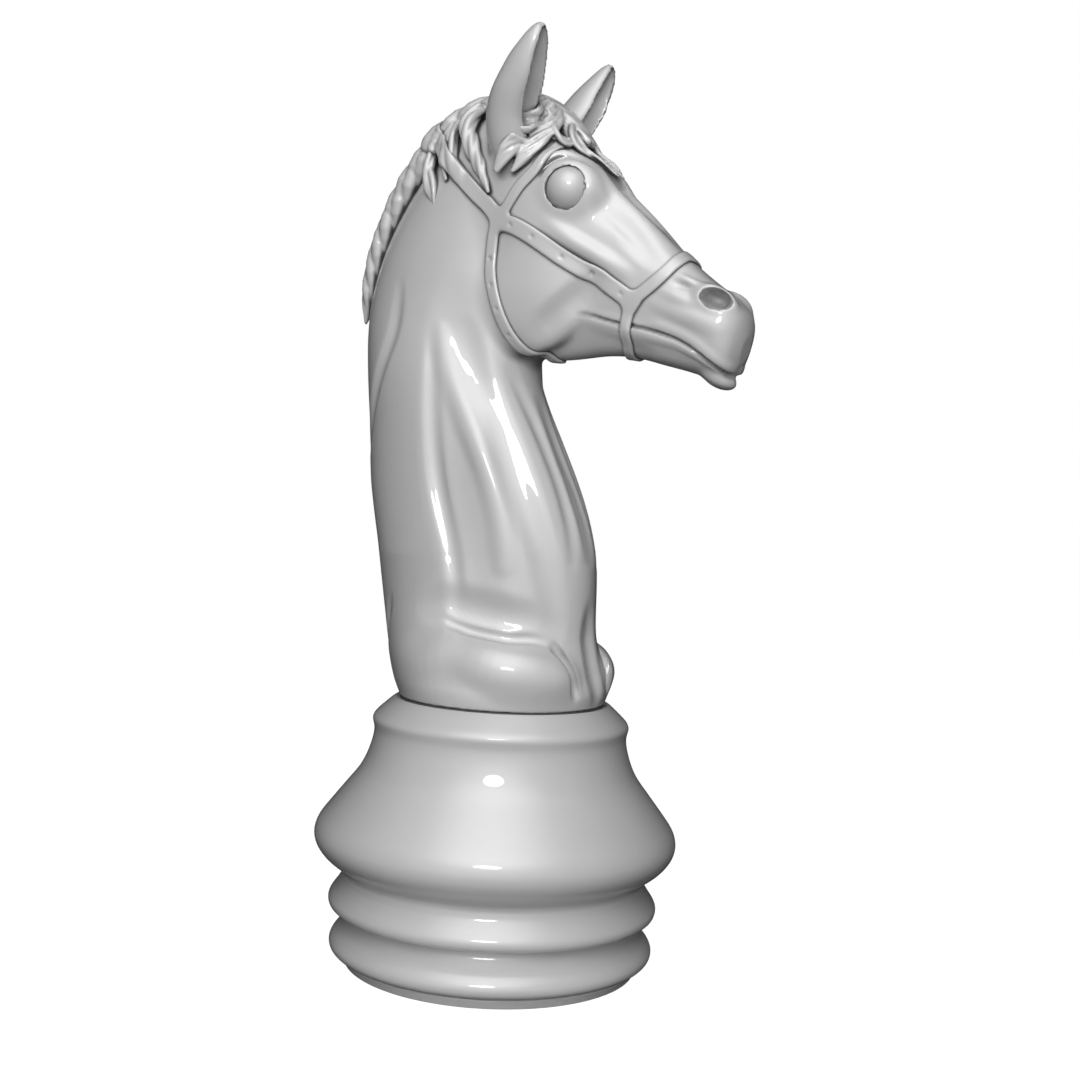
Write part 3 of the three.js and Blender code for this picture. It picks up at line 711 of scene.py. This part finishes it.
front_valley = [
    (-26, -46, 520), (-17, -46, 500), (-7, -44, 473), (18, -44, 426), (40, -45, 379),
    (57, -41, 337), (64, -38, 309), (68, -36, 284),
]
bust_clay.stroke(front_valley, 14, -2.6, 9, 0.25)
throat_groove = [(8, -27, 492), (27, -18, 452), (51, -17, 407), (65, -18, 369), (71, -21, 338)]
bust_clay.stroke(throat_groove, 6, -2.8, 5, 0.3)
bust_clay.stroke([(23, -3, 470), (44, -3, 429), (63, -4, 388), (76, -3, 340)], 5, -2.2, 5, 0.35)
bust_clay.egg((36, 42, 249), (48, 36, 28), 8.0, tilt=0.12, yaw=-0.4)
roll = [(-62, -70, 256), (-33, -79, 258), (-3, -78, 263), (27, -73, 260), (52, -62, 255)]
bust_clay.stroke(roll, 24, 5.0, 8, 0.4)
fold = [
    (-34, -75, 284), (-15, -75, 288), (2, -74, 286), (24, -69, 282), (40, -63, 279),
    (54, -53, 277), (66, -42, 272), (76, -34, 262),
]
bust_clay.stroke([(x, y, z + 13) for x, y, z in fold[:7]], 18, -5.0, 9, 0.35)
bust_clay.stroke([(x, y, z + 4) for x, y, z in fold], 5, -3.4, 2.5, 0.35)
cleft = [(76, 0, 300), (80, 0, 280), (86, 0, 262), (90, 0, 244), (90, 0, 228)]
bust_clay.stroke(cleft, 10, -4.0, 7, 0.3, mirror=False)
roll_end = [(66, -40, 277), (76, -33, 262), (82, -30, 246), (86, -28, 230)]
bust_clay.stroke(roll_end, 4.5, -6.0, 2, 0.25)
bust_clay.stroke([(-96, -40, 262), (-90, -48, 282), (-86, -54, 300)], 5, -2.0, 5, 0.4)

# The bust is hollow: a wall of 4 mm round a room that takes the spigot, its cap and the socket.
wall, room_top = 4.0, 336.0
heights = bust_clay.near(bust_clay.low, bust_clay.low + 600)[1][..., 2]
bust_clay.put(..., np.maximum(bust_clay.block + wall, heights - room_top), 1.5, cut=True)


def mouth_ring(row):
    radius, height = row
    angle = np.linspace(0, 2 * np.pi, 96, endpoint=False)
    return np.stack([radius * np.cos(angle), radius * np.sin(angle), np.full(96, height)], 1)


neck_mouth = [(80.5, 205), (80.5, 223.5), (80.4, 224), (79.9, 224.4), (79.9, 232.0)]
bust_clay.skin(neck_mouth, mouth_ring, 0.8, cut=True, steps=2)

for name, side in (("bust_right", -1), ("bust_left", 1)):
    half = bust_clay.mesh(name, lambda middle: middle[:, 1] * side > 0)
    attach(half, "bust")
    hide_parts(name + "_shell")

# ---- Eyes ---------------------------------------------------------------------------------------
# Two smooth glossy balls of the same grey, pressed into the sockets from outside.

arc = [math.pi * i / 40 for i in range(1, 40)]
ball_side = [
    (0.0, -eye_radius),
    *[(eye_radius * math.sin(a), -eye_radius * math.cos(a)) for a in arc],
    (0.0, eye_radius),
]
for name, side in (("eye_right", -1), ("eye_left", 1)):
    eye = turn_piece(name + "_ball", ball_side, grey_gloss, sides=72, crease=60.0)
    x, y, z = eye_spot
    eye.data.transform(Matrix.Translation(Vector((x, side * y, z)) / 1000.0))
    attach(eye, "bust")
    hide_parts(name)

# ---- Mane and forelock --------------------------------------------------------------------------
# Thick wavy locks modelled as twisted ropes: a scalloped crest down the back of the neck, and a
# tangle between the ears that falls over the brow. Cast with the bust's clay, moulded in one piece.

hair_clay = Clay((-172, -62, 520), (100, 62, 732), 1.2)


def lay_rope(path, wide, thick, strands, pitch, start=0.0, fine=3, side=1, lift=0.0):
    """Twist locks round a path above the skin: wide and thick are half sizes along its length."""
    count = 3 * len(path) + 6
    line = np.array(bent_line([(x, side * y, z) for x, y, z in path], count))
    run = np.linspace(0, 1, count)
    steps = np.linspace(0, 1, len(wide))
    across, tall = np.interp(run, steps, wide), np.interp(run, steps, thick)
    ahead = np.gradient(line, axis=0)
    ahead /= np.linalg.norm(ahead, axis=1, keepdims=True)
    out = bust_clay.facing(line, 3.0)
    out -= (out * ahead).sum(1)[:, None] * ahead
    out /= np.maximum(np.linalg.norm(out, axis=1, keepdims=True), 1e-6)
    line = line + out * lift
    level = np.cross(ahead, out)
    length = np.concatenate([[0], np.cumsum(np.linalg.norm(np.diff(line, axis=0), axis=1))])
    for k in range(strands):
        turn = side * 2 * np.pi * length / pitch + 2 * np.pi * k / strands + start
        body = 0.6 * np.minimum(across, tall) + 0.12 * across
        middle = (
            line
            + (np.cos(turn) * (across - body).clip(0.3))[:, None] * level
            + (np.sin(turn) * (tall - body).clip(0.3))[:, None] * out
        )
        for j in range(fine):
            curl = 0.6 * turn + 2 * np.pi * j / fine
            off = 0.42 * body
            strand = (np.cos(curl) * off)[:, None] * level + (np.sin(curl) * off)[:, None] * out
            hair_clay.bar(middle + strand, 0.64 * body, 0.5)


crest = [
    (-157, 0, 534), (-153, 0, 560), (-144, 0, 592), (-129, 0, 624), (-108, 0, 655), (-86, 0, 680),
    (-62, 0, 699), (-38, 0, 709), (-16, 0, 712),
]
lay_rope(crest, (1.5, 10, 14, 17, 20, 21, 21, 20, 18), (1.5, 9, 12, 13, 14, 14, 13, 12, 9), 4, 84.0)
over_brow = [(-24, 0, 706), (-2, 0, 713), (18, 0, 707), (38, 0, 693), (56, 0, 676)]
lay_rope(over_brow, (16, 17, 16, 14, 8), (8, 9, 9, 7, 4), 4, 70.0)
# Side locks: path, half widths, half thicknesses, strands, pitch, first turn and lift.
side_locks = [
    # Behind the ear.
    ([(-40, 18, 706), (-42, 28, 694), (-37, 34, 678), (-26, 38, 660), (-11, 44, 632)],
     (9, 9, 8, 7, 2), (7, 8, 7, 6, 1.5), 3, 62.0, 0.5, 0.0),
    ([(-62, 16, 697), (-62, 26, 682), (-54, 33, 664), (-44, 36, 650)],
     (10, 10, 9, 3), (5, 6, 5, 2), 2, 90.0, 1.5, 0.0),
    # Pointed tips that hang from the crest.
    ([(-84, 18, 676), (-80, 27, 660), (-74, 32, 644), (-68, 35, 624)],
     (8, 10, 8, 2), (5, 6, 5, 1.5), 2, 90.0, 0.0, 0.0),
    ([(-68, 24, 680), (-63, 31, 664), (-57, 36, 646)],
     (7, 8, 2.5), (4, 5, 1.5), 2, 80.0, 0.8, 0.0),
    # In front of the ear.
    ([(24, 18, 706), (22, 31, 693), (16, 42, 677), (8, 49, 662), (0, 51, 646)],
     (9, 10, 10, 8, 3), (4, 4, 4, 3.5, 1.2), 7, 110.0, 0.0, 2.0),
    ([(28, 12, 702), (34, 24, 688), (29, 35, 674), (20, 43, 658), (12, 47, 646)],
     (7, 9, 9, 7, 2), (4, 4, 4, 3.5, 1.2), 6, 90.0, 1.0, 1.0),
    # Curls between the ears.
    ([(6, 12, 712), (16, 22, 706), (26, 24, 697), (32, 18, 690), (28, 12, 696), (22, 14, 704)],
     (6, 6, 6, 5, 5, 4), (5, 6, 6, 5, 5, 4), 2, 60.0, 2.0, 0.0),
    ([(-8, 20, 712), (-2, 30, 706), (8, 33, 698), (16, 28, 694), (18, 20, 700)],
     (6, 7, 6, 6, 5), (5, 6, 6, 5, 5), 2, 60.0, 1.0, 0.0),
    ([(30, 26, 690), (38, 29, 680), (46, 24, 672), (46, 16, 676), (38, 14, 686)],
     (5, 6, 6, 5, 4), (5, 5, 5, 5, 4), 2, 50.0, 0.6, 0.0),
    # The lock that falls over the brow.
    ([(36, 6, 694), (48, 15, 680), (58, 16, 668), (70, 11, 660), (86, 5, 647)],
     (7, 7, 6, 5, 1.5), (5, 5, 4, 3, 1.2), 2, 60.0, 0.0, 0.0),
]
for side in (-1, 1):
    for path, wide, thick, strands, pitch, start, lift in side_locks:
        lay_rope(path, wide, thick, strands, pitch, start, 2, side, lift)

hair_split = -12.0
for name, node, sign in (("mane_hair", "mane", -1), ("forelock_hair", "forelock", 1)):
    hair = hair_clay.mesh(name, lambda middle: (middle[:, 0] - hair_split) * sign > 0)
    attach(hair, "bust")
    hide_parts(node)

# ---- Bridle -------------------------------------------------------------------------------------
# Flat straps of soft grey plastic that lie on the head, joined with rounded webs where they meet.
# The cheek and throat straps are pricked with small round buckle holes.

strap_clay = Clay((-110, -66, 486), (162, 66, 722), 1.15)
ground = Clay((-110, -66, 486), (162, 66, 722), 1.15)
places = ground.near((-110, -66, 486), (162, 66, 722))[1]
hair_height = hair_clay.depth(places) + 0.8 * np.clip(places[..., 0] + 40.0, 0.0, 60.0)
ground.block = merge(bust_clay.depth(places), hair_height, 8.0).astype(np.float32)


def lay_strap(path, half_width):
    """Mark a strap along the skin, or over the mane, on both sides of the head."""
    for side in (-1, 1):
        line = bent_line([(x, side * y, z) for x, y, z in path], 4 * len(path))
        strap_clay.bar(ground.onto(ground.onto(line)), half_width, 5.0)
        over_mane = path[-1][0] < -90
        if over_mane:
            line = bust_clay.onto(line)
            for lift in (0.0, 4.0, 8.0, 12.0, 16.0):
                strap_clay.bar(line + bust_clay.facing(line) * lift, half_width, 2.0)


cheek_line = [
    (-1, 46, 608), (14, 46, 604), (30, 46, 596), (56, 46, 580), (80, 40, 566), (103, 34, 552),
    (114, 32, 544),
]
throat_line = [
    (-1, 44, 612), (-6, 43, 600), (-7, 43, 572), (-2, 43, 552), (5, 43, 532), (15, 38, 513),
    (26, 24, 503), (34, 10, 500), (36, 0, 499),
]
nose_line = [
    (114, 32, 544), (130, 29, 556), (141, 25, 567), (147, 15, 577), (148, 6, 581), (148, 0, 582),
]
chin_line = [(114, 32, 544), (110, 28, 529), (108, 22, 514), (106, 14, 506), (105, 0, 504)]
brow_line = [
    (0, 45, 610), (10, 46, 624), (19, 45, 636), (30, 42, 647), (38, 34, 660), (42, 22, 671),
    (45, 10, 679), (46, 0, 681),
]
crown_line = [
    (-1, 44, 610), (-12, 43, 622), (-24, 40, 632), (-42, 38, 648), (-60, 36, 666), (-76, 30, 684),
    (-90, 18, 698), (-97, 6, 704), (-98, 0, 704),
]
lay_strap(cheek_line, 7.0)
lay_strap(throat_line, 5.6)
lay_strap(nose_line, 5.4)
lay_strap(chin_line, 5.0)
lay_strap(brow_line, 5.0)
lay_strap(crown_line, 6.2)
strap_height, strap_root = 2.5, 1.5
flat_top = pare(strap_clay.block, strap_height - ground.block, 1.6)
strap_clay.block = pare(flat_top, ground.block + strap_root, 0.3)

hole_radius = 2.2
for path, first, last, count in ((cheek_line, 0.12, 0.9, 5), (throat_line, 0.22, 0.62, 4)):
    for side in (-1, 1):
        line = np.array(bent_line([(x, side * y, z) for x, y, z in path], 101))
        spots = bust_clay.onto(line[(np.linspace(first, last, count) * 100).astype(int)])
        for middle in spots + bust_clay.facing(spots) * 3.6:
            strap_clay.bar([middle, middle + 0.01], hole_radius, 0.9, cut=True)
bridle = strap_clay.mesh("bridle_straps")
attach(bridle, "bust")
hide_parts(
    "crown_strap", "brow_strap", "nose_strap", "throat_strap",
    "cheek_strap_right", "cheek_strap_left", "cheek_stud_right", "cheek_stud_left",
)

# ---- Painted shade in the creases ---------------------------------------------------------------
# Where bust, hair and straps meet, or fold in on themselves, the colour is darkened as painted
# shade.
# open_air says how much free room each point of the three sculpted skins has in front of it.

all_clay = (bust_clay, hair_clay, strap_clay)
for clay in all_clay:
    for mesh, points, facing in clay.skins:
        open_air = 0.0
        for away, share in ((1.5, 0.28), (3.0, 0.28), (6.0, 0.22), (13.0, 0.22)):
            spots = points + facing * away
            near = np.min([other.depth(spots) for other in all_clay], axis=0)
            open_air = open_air + share * np.clip(near / away, 0.0, 1.0)
        mesh.attributes.new("open_air", "FLOAT", "POINT").data.foreach_set("value", open_air)
